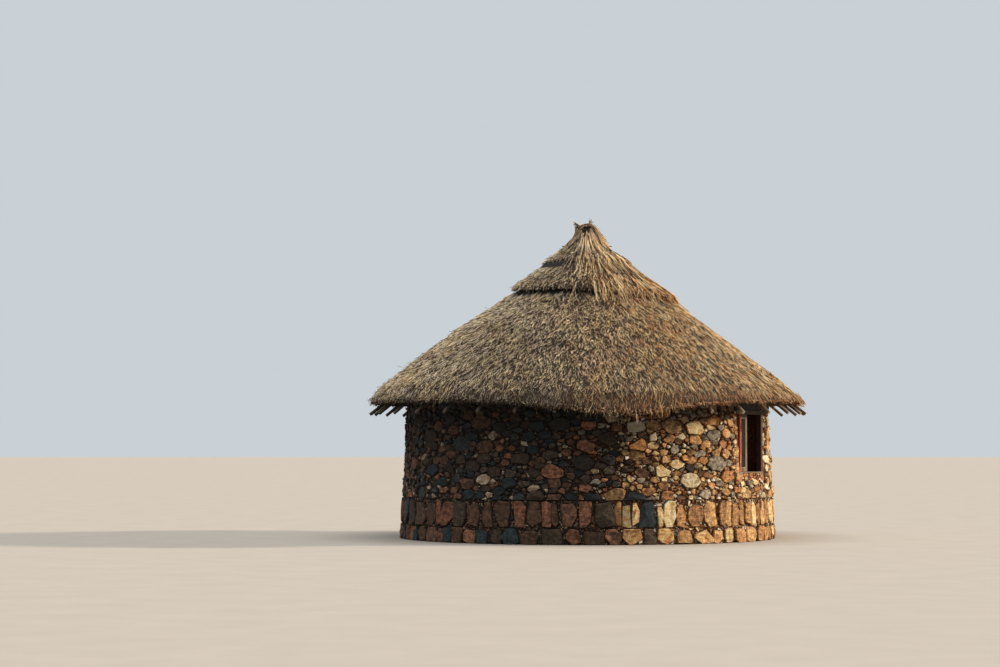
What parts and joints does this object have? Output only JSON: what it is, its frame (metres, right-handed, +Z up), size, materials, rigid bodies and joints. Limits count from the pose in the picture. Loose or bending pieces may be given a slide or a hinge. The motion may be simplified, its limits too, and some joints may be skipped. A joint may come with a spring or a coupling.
{
  "type": "rondavel hut",
  "caption": "Round hut with a thick rubble stone wall, a small timber-framed window, a doorway at the back and a conical thatched roof on pole rafters with a tied crown.",
  "frame": {"origin": "on the ground at the centre of the round wall", "axes": "+Z up along the wall's axis; -Y is the front that the picture shows, +X its right side with the window, +Y the back with the doorway"},
  "size_m": [7.0904, 7.1786, 5.1203],
  "materials": {
    "rubble_masonry": "matte",
    "weathered_wood": "matte",
    "bleached_wood": "matte",
    "red_oxide_paint": "matte",
    "window_glass": "gloss",
    "door_timber": "matte",
    "pole_bark": "matte",
    "pole_wood": "matte",
    "grass_thatch": "matte",
    "dark_stalks": "matte",
    "grass_rope": "matte"
  },
  "bodies": {
    "root": {"wall_arc_1": "rubble_masonry", "wall_arc_2": "rubble_masonry", "wall_arc_3": "rubble_masonry", "wall_arc_4": "rubble_masonry", "wall_arc_5": "rubble_masonry", "wall_arc_6": "rubble_masonry", "wall_arc_7": "rubble_masonry", "wall_arc_8": "rubble_masonry", "wall_arc_9": "rubble_masonry", "wall_arc_10": "rubble_masonry", "wall_arc_11": "rubble_masonry", "wall_arc_12": "rubble_masonry", "wall_under_window": "rubble_masonry", "wall_over_window": "rubble_masonry", "wall_over_door": "rubble_masonry", "window_lintel": "weathered_wood", "window_head": "bleached_wood", "window_sill": "weathered_wood", "window_left_stile": "red_oxide_paint", "window_right_stile": "red_oxide_paint", "window_sash": "bleached_wood", "window_pane": "window_glass", "door_lintel": "weathered_wood", "door_head": "door_timber", "door_left_jamb": "door_timber", "door_right_jamb": "door_timber", "door_threshold": "door_timber", "door_leaf": "door_timber", "door_ledges": "door_timber", "wall_plate": "pole_bark", "main_rafters": "pole_wood", "jack_rafters": "pole_wood", "thatch_hoops": "pole_bark", "apex_block": "pole_bark", "main_thatch_front": "grass_thatch", "main_thatch_right": "grass_thatch", "main_thatch_back": "grass_thatch", "main_thatch_left": "grass_thatch", "thatch_cap": "grass_thatch", "crown_course": "grass_thatch", "crown_tuft": "dark_stalks", "crown_rope": "grass_rope", "crown_peg": "pole_bark"}
  },
  "joints": []
}
